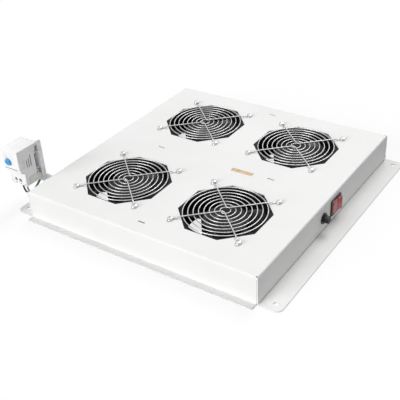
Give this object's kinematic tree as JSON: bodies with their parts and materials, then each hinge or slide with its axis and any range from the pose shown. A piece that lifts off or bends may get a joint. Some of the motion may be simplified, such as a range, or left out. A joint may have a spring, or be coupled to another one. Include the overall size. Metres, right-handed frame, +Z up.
{
  "type": "rack fan tray",
  "caption": "Open-bottomed sheet-steel rack fan tray with fans under wire guards, a lit rocker switch, a fuse holder and a rail-mounted thermostat on a side bracket.",
  "frame": {"origin": "centre of the flange bolt pattern, on the underside of the side flanges", "axes": "+Z up out of the fans, +X towards the side with the rocker switch, +Y towards the cable gland"},
  "size_m": [0.4595, 0.4243, 0.0965],
  "materials": {
    "tray_paint": "satin powder coat",
    "zinc_plate": "bright zinc plate",
    "bright_steel": "ground",
    "guard_wire": "bright plated wire",
    "galvanised": "galvanised sheet",
    "switch_black": "fine grain",
    "rocker_red": "clear tinted",
    "tag_brass": "stamped",
    "fuse_glass": "clear",
    "fan_black": "black enamel",
    "rotor_black": "black enamel",
    "stator_iron": "laminated",
    "thermostat_grey": "fine grain",
    "dial_blue": "moulded",
    "clip_grey": "moulded",
    "grommet_rubber": "matt",
    "gland_black": "moulded",
    "strip_white": "moulded",
    "lead_black": "insulation",
    "lead_green": "insulation"
  },
  "bodies": {
    "tray": {"tray_shell": "tray_paint", "side_rail_right": "tray_paint", "side_rail_left": "tray_paint", "end_rail_front": "tray_paint", "rear_wall": "tray_paint", "rear_lip": "tray_paint", "fan_bearings": "bright_steel", "stators": "stator_iron", "guard_screws": "zinc_plate", "guard_nuts": "zinc_plate", "switch_housing": "switch_black", "switch_pin": "bright_steel", "switch_terminals": "tag_brass", "fuse_holder": "switch_black", "fuse_nut": "switch_black", "fuse_tags": "tag_brass", "thermostat_bracket": "galvanised", "bracket_screws": "zinc_plate", "din_rail": "galvanised", "rail_screws": "zinc_plate", "thermostat_housing": "thermostat_grey", "thermostat_terminals": "bright_steel", "wall_grommet": "grommet_rubber", "mains_gland": "gland_black", "gland_cap": "gland_black", "gland_nut": "gland_black", "earth_stud": "bright_steel", "earth_nut": "zinc_plate", "connector_strip": "strip_white", "strip_screws": "bright_steel", "lead_black": "lead_black", "lead_green": "lead_green", "fan_frame_1": "fan_black", "motor_spider_1": "fan_black", "finger_guard_1": "guard_wire", "fan_frame_2": "fan_black", "motor_spider_2": "fan_black", "finger_guard_2": "guard_wire", "fan_frame_3": "fan_black", "motor_spider_3": "fan_black", "finger_guard_3": "guard_wire", "fan_frame_4": "fan_black", "motor_spider_4": "fan_black", "finger_guard_4": "guard_wire"},
    "fan_rotor_1": {"rotor_1": "rotor_black", "rotor_shaft_1": "bright_steel"},
    "fan_rotor_2": {"rotor_2": "rotor_black", "rotor_shaft_2": "bright_steel"},
    "fan_rotor_3": {"rotor_3": "rotor_black", "rotor_shaft_3": "bright_steel"},
    "fan_rotor_4": {"rotor_4": "rotor_black", "rotor_shaft_4": "bright_steel"},
    "rocker": {"switch_rocker": "rocker_red"},
    "dial": {"thermostat_dial": "dial_blue"},
    "clip": {"rail_clip": "clip_grey"},
    "fuse_link": {"fuse_glass": "fuse_glass", "fuse_end_caps": "bright_steel"},
    "fuse_knob": {"fuse_cap": "switch_black"}
  },
  "joints": [
    {"name": "rotor_spin_1", "type": "hinge", "parent": "tray", "child": "fan_rotor_1", "pos_m": [-0.0825, -0.1, 0.02], "axis": [0, 0, 1], "continuous": true},
    {"name": "rotor_spin_2", "type": "hinge", "parent": "tray", "child": "fan_rotor_2", "pos_m": [0.0825, -0.1, 0.02], "axis": [0, 0, 1], "continuous": true},
    {"name": "rotor_spin_3", "type": "hinge", "parent": "tray", "child": "fan_rotor_3", "pos_m": [0.0825, 0.1, 0.02], "axis": [0, 0, 1], "continuous": true},
    {"name": "rotor_spin_4", "type": "hinge", "parent": "tray", "child": "fan_rotor_4", "pos_m": [-0.0825, 0.1, 0.02], "axis": [0, 0, 1], "continuous": true},
    {"name": "rocker_tilt", "type": "hinge", "parent": "tray", "child": "rocker", "pos_m": [0.1886, 0.014, 0.023], "axis": [0, 0, 1], "range_deg": [0, 18]},
    {"name": "dial_turn", "type": "hinge", "parent": "tray", "child": "dial", "pos_m": [-0.2282, -0.1875, 0.076], "axis": [0, -1, 0], "range_deg": [-135, 135]},
    {"name": "clip_release", "type": "slide", "parent": "tray", "child": "clip", "axis": [0, 0, -1], "range_m": [0, 0.003], "stiffness_N_per_m": 600, "springref_m": -0.002},
    {"name": "fuse_draw", "type": "slide", "parent": "tray", "child": "fuse_link", "axis": [1, 0, 0], "range_m": [0, 0.026]},
    {"name": "fuse_cap_turn", "type": "hinge", "parent": "fuse_link", "child": "fuse_knob", "pos_m": [0.189, -0.0225, 0.0215], "axis": [1, 0, 0], "range_deg": [-90, 0]}
  ]
}
